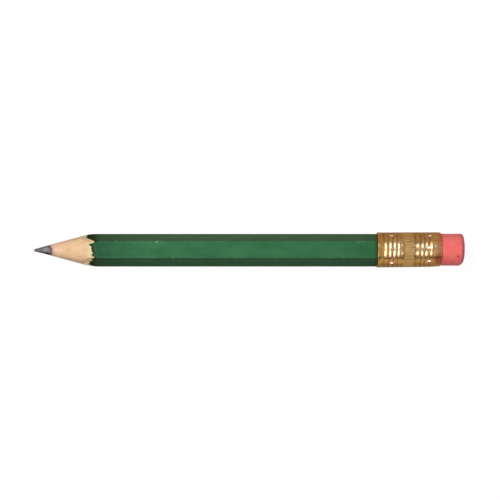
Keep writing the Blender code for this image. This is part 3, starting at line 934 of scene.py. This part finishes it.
def ferrule_surface(stations, angles):
    """Outer radius of the ferrule, and three marks from 0 to 1: in a recess, fluted, and rubbed, which marks
    where paler gold is painted under the highlights: the ribs' top-facing flanks, the notches and the prick.
    """
    rear = smooth((stations - FERRULE_END + TUCK_LENGTH) / TUCK_LENGTH)
    tucked = rear * np.clip(-np.sin(angles), 0, 1) ** 2
    base = FERRULE_RADIUS - REAR_TAPER * along_ferrule(stations) - REAR_TUCK * tucked
    wander = 0.05 * np.sin(2 * angles + 0.7) + 0.03 * np.sin(5 * angles)
    uneven = 1 + 0.06 * np.sin(3 * angles + 0.4 * stations) + 0.05 * np.sin(7 * angles + 1.7 * stations)
    uneven = uneven * (1 - 0.85 * np.sin(angles) ** 6)
    depths = np.interp(stations - wander, *groove_profile())
    radii = base - uneven * depths
    recess = np.clip(depths / 0.12, 0, 1) ** 2
    # Painted highlight colour: the ribs' top-facing flanks get paler gold.
    rubbed = smooth((depths - 0.01) / 0.03) * (1 - recess) * np.cos(angles) ** 6
    band_start, band_end = FLUTED_BAND
    fluted = smooth((stations - band_start) / 0.15) * smooth((band_end - stations) / 0.5)
    flute = 0.5 - 0.5 * np.cos(FLUTES * angles + 0.8 * np.sin(3 * angles))
    radii = radii - fluted * FLUTE_DEPTH * flute
    recess = np.maximum(recess, fluted * flute**2 * 0.5)
    for station, degrees in PUNCHES:
        turned = (np.degrees(angles) - degrees + 180) % 360 - 180
        outward = np.radians(turned) * math.copysign(FERRULE_RADIUS, degrees)
        ramp = np.clip(0.5 - outward / PUNCH_LENGTH, 0, 1)
        ramp = ramp * smooth((outward + PUNCH_LENGTH / 2 + 0.12) / 0.14)
        notch = ramp * smooth((PUNCH_HALF_WIDTH + 0.08 - np.abs(stations - station)) / 0.16)
        inside = smooth(notch * 8)
        deeper = PUNCH_LEAN * (station + PUNCH_HALF_WIDTH - stations) * inside
        radii = np.minimum(radii, base - PUNCH_DEPTH * notch - deeper)
        recess = recess * (1 - inside)
        # The notches get the painted highlight colour too.
        rubbed = np.maximum(rubbed, inside)
    front, back, degrees, half, depth = TOP_PRICK
    slope = np.clip((back - stations) / (back - front), 0, 1) * smooth((stations - front + 0.1) / 0.12)
    slope = slope * smooth(1.8 - 1.8 * off_angle(angles, degrees) / half)
    radii = np.minimum(radii, base - depth * slope)
    # So does the prick.
    rubbed = np.maximum(rubbed, smooth(slope * 8))
    radii = np.maximum(radii, NECK_RADIUS + FIT_GAP + 0.10)
    mouth = np.clip(1 - (stations - FERRULE_START) / MOUTH_LENGTH, 0, 1)
    rim = np.clip((stations - (FERRULE_END - RIM_LENGTH)) / RIM_LENGTH, 0, 1)
    radii = radii - rolled(mouth, MOUTH_DROP) - rolled(rim, RIM_DROP)
    return radii, {"recess": recess, "fluted": fluted, "rubbed": rubbed}


def make_ferrule(material):
    """The ferrule: rolled mouth and rim, two sets of ribs, a fluted band and punch marks."""
    angles = around(384)
    stations = rows(np.linspace(FERRULE_START, FERRULE_END, 220), angles)
    radii, marks = ferrule_surface(stations, angles)
    dents = 0.014 * rough_field(stations, radii, angles, (0.5, 0.5, 0.5), 21.0, 2)
    radii = radii + dents - 0.008
    inner_stations = rows(np.linspace(FERRULE_END, FERRULE_START, 34), angles)
    inner_radii = ferrule_surface(inner_stations, angles)[0] - SHEET_THICKNESS
    inner_radii = np.maximum(inner_radii, NECK_RADIUS + FIT_GAP)
    outer = to_points(stations, radii, angles, crooked(stations))
    inner = to_points(inner_stations, inner_radii, angles, crooked(inner_stations))
    inside = {"recess": 0.6, "fluted": 0.0, "rubbed": 0.0}
    values = {key: np.concatenate([mark, inside[key] + 0 * inner_stations]) for key, mark in marks.items()}
    piece = sleeve("pressed_ferrule", outer, inner, material, "gold_sheet", sharp_degrees=60, values=values)
    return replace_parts(piece, "ferrule")


def make_eraser(material):
    """The eraser: necked in the ferrule, swelling outside it, its end rubbed round, more so on one side."""
    angles = around(192)
    low_side = 0.5 - 0.5 * np.sin(angles + math.radians(12))
    corner_length = 0.66 + 0.70 * low_side
    corner_depth = 1.05 + 0.28 * low_side
    end = LENGTH - 0.28 - 0.05 * low_side
    swell_start = FERRULE_END + 0.02

    neck_stations = rows([ERASER_START, ERASER_START + 0.3, FERRULE_END - 0.1], angles)
    neck_radii = rows([NECK_RADIUS - 0.3, NECK_RADIUS, NECK_RADIUS], angles)
    side_stations = swell_start + (end - corner_length - swell_start) * np.linspace(0, 1, 44)[:, None]
    swell = smooth((side_stations - FERRULE_END) / 0.35)
    side_radii = NECK_RADIUS + (ERASER_RADIUS - NECK_RADIUS) * swell
    arc = np.linspace(0, math.pi / 2, 22)[1:, None]
    corner_stations = end - corner_length * (1 - np.sin(arc))
    corner_radii = ERASER_RADIUS - corner_depth * (1 - np.cos(arc))
    face_share = np.linspace(1, 0.03, 24)[1:, None]
    face_radii = (ERASER_RADIUS - corner_depth) * face_share
    face_stations = end + (LENGTH - 0.22 - end) * (1 - face_share**2)

    stations = np.concatenate([neck_stations, side_stations, corner_stations, face_stations])
    radii = np.concatenate([neck_radii, side_radii, corner_radii, face_radii])
    lumps = rough_field(stations, radii, angles, (0.5, 0.5, 0.5), 31.0, 2)
    pits = rough_field(stations, radii, angles, (4, 4, 4), 35.0)
    outside = smooth((stations - FERRULE_END - 0.3) / 0.8)
    relief = outside * (0.030 * lumps + 0.010 * pits - 0.030)
    at_end = smooth((stations - (LENGTH - 1.1)) / 0.6)
    # Marks the rounded end for graphite smudges and the painted shade of its edge.
    smudge_and_shade = smooth((stations - (LENGTH - 1.5)) / 0.8) * smooth((radii - 1.4) / 1.4)
    radii = radii + relief * smooth(radii / 1.5)
    stations = stations + relief * at_end
    points = to_points(stations, radii, angles, 0.75 * crooked(stations))
    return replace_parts(turned_solid("worn_eraser", points, material, "red_rubber", {"smudge_and_shade": smudge_and_shade}), "eraser")


# ---- stage, light and camera

FLOOR_HALF = 3.0  # metres
FLOOR_GAP = 0.0001  # metres below the ferrule
LAMP_DISTANCE = 0.6  # metres
PANEL_TINT = (0.95, 1.0, 1.28)

ROOM_MIRRORED = 0.38
ROOM_HIGH = (1.0, 0.94, 0.82, 1.0)
ROOM_RIGHT = (1.80, 2.05, 2.30, 1.0)
ROOM_GAP = (0.38, 0.34, 0.27, 1.0)
ROOM_SIDE_FRONT = (1.45, 1.35, 1.20, 1.0)
ROOM_SIDE_BACK = (1.05, 0.88, 0.70, 1.0)
ROOM_LOW_FRONT = (0.80, 0.72, 0.58, 1.0)
ROOM_LOW_BACK = (0.95, 0.74, 0.52, 1.0)
ROOM_DIFFUSE = 0.08

CAMERA_LEAN = 3.0  # degrees from straight down, to show more of the -Y side
LENS = 100.0
SENSOR = 36.0
VIEW_WIDTH = 0.1183  # metres across the picture at the pencil's axis
AIM = Vector((0.00007, 0.00006, AXIS_Z))


def make_floor():
    """White paper that the pencil rests on with its ferrule and the front edge of its lowest flat."""
    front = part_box("lacquer_coat")[0]
    back_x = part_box("ferrule")[0].x
    mesh = bpy.data.meshes.new("floor")
    corners = [(x * FLOOR_HALF, y * FLOOR_HALF, 0) for x, y in ((-1, -1), (1, -1), (1, 1), (-1, 1))]
    mesh.from_pydata(corners, [], [(0, 1, 2, 3)])
    mesh.materials.append(floor_look())
    floor = show(bpy.data.objects.new("floor", mesh))
    floor.rotation_euler = (0.0, math.atan2(front.z, back_x - front.x), 0.0)
    floor.location = (back_x, 0.0, -FLOOR_GAP)
    floor.visible_glossy = False
    floor.visible_diffuse = False
    floor.visible_shadow = False


def make_softbox(
    name, tilt_left, tilt_back, radiance, size=(0.30, 0.30), below=False, lights="all", tint=(1.0, 1.0, 1.0)
):
    """A soft box tilted so many degrees from straight up towards -X and +Y, facing the pencil.

    lights says what it shines on: "matte" surfaces, or "polished" ones, which mirror it, or "all".
    """
    light = bpy.data.lights.new(name, "AREA")
    light.shape = "RECTANGLE"
    light.size, light.size_y = size
    light.energy = radiance * math.pi * size[0] * size[1]
    light.color = tint
    lamp = show(bpy.data.objects.new(name, light))
    left, back = math.tan(math.radians(tilt_left)), math.tan(math.radians(tilt_back))
    away = Vector((-left, back, -1.0 if below else 1.0)).normalized()
    lamp.location = Vector((0.0, 0.0, AXIS_Z)) + LAMP_DISTANCE * away
    lamp.rotation_euler = away.to_track_quat("Z", "Y").to_euler()
    lamp.visible_glossy = lights != "matte"
    lamp.visible_diffuse = lights != "polished"


def make_world():
    """A room: what polished metal mirrors, far less light for matte surfaces, and a white backdrop."""
    world = bpy.data.worlds.new("studio")
    bpy.context.scene.world = world
    world.use_nodes = True
    tree = world.node_tree
    direction = add_node(tree, "SeparateXYZ", Vector=add_node(tree, "TexCoord").outputs["Generated"])

    def blend(axis, low, high, first, second):
        """One thing where the direction's share along an axis is low, and another where it is high."""
        share = add_node(tree, "MapRange", Value=direction.outputs[axis], From_Min=low, From_Max=high)
        return mix_colors(tree, share.outputs["Result"], first, second)

    low_room = blend("Y", -0.3, 0.3, ROOM_LOW_FRONT, ROOM_LOW_BACK)
    side_room = blend("Y", -0.3, 0.3, ROOM_SIDE_FRONT, ROOM_SIDE_BACK)
    beside_panel = blend("Y", -0.78, -0.65, ROOM_GAP, ROOM_HIGH)
    lower_part = blend("Z", -0.35, -0.10, low_room, side_room)
    middle_part = blend("Z", 0.30, 0.45, lower_part, beside_panel)
    top_part = blend("X", 0.38, 0.58, ROOM_HIGH, ROOM_RIGHT)
    mirrored = tree.nodes["Background"]
    feed(tree, mirrored.inputs["Color"], blend("Z", 0.60, 0.70, middle_part, top_part))
    mirrored.inputs["Strength"].default_value = ROOM_MIRRORED
    rays = add_node(tree, "LightPath")
    last = mirrored.outputs["Background"]
    for ray, strength in (("Is Diffuse Ray", ROOM_DIFFUSE), ("Is Camera Ray", 1.0)):
        light = add_node(tree, "Background", Color=(1.0, 1.0, 1.0, 1.0), Strength=strength)
        last = mix_shaders(tree, rays.outputs[ray], last, light.outputs["Background"])
    feed(tree, tree.nodes["World Output"].inputs["Surface"], last)


def make_camera():
    data = bpy.data.cameras.new("camera")
    data.lens = LENS
    data.sensor_width = SENSOR
    data.clip_start = 0.01
    camera = show(bpy.data.objects.new("camera", data))
    lean = math.radians(CAMERA_LEAN)
    distance = VIEW_WIDTH * LENS / SENSOR
    camera.location = AIM + distance * Vector((0.0, -math.sin(lean), math.cos(lean)))
    camera.rotation_euler = (lean, 0.0, 0.0)
    bpy.context.scene.camera = camera


make_camera()
make_core(graphite_look())
wood = wood_look()
make_slat("upper_slat_wood", "casing_slat_upper", 0, wood)
make_slat("lower_slat_wood", "casing_slat_lower", 180, wood)
make_primer(primer_look())
make_lacquer(lacquer_look())
make_ferrule(gold_look())
make_eraser(rubber_look())
glue = glue_look()
for seam in ("glue_seam_front", "glue_seam_back"):
    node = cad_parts[seam]
    node.data.materials.clear()
    node.data.materials.append(glue)

make_floor()
make_softbox("key_back", 32, 28, 8.7, size=(0.255, 0.425), lights="matte")
make_softbox("key_front", 32, -32, 5.4, size=(0.255, 0.425), lights="matte")
make_softbox("panel_back", 30, 25.3, 2.1, size=(0.437, 0.455), lights="polished", tint=PANEL_TINT)
make_softbox("panel_front", 30, -27.8, 2.1, size=(0.437, 0.475), lights="polished", tint=PANEL_TINT)
make_softbox("fill_under", 0, 0, 4.5, size=(0.45, 0.35), below=True, lights="matte")
make_softbox("glint_under", 0, 0, 1.2, size=(0.45, 0.35), below=True, lights="polished")
make_softbox("fill_right", -82, 0, 5.0, lights="matte")
make_world()
bpy.context.scene.view_settings.view_transform = "Standard"
bpy.context.scene.view_settings.look = "None"
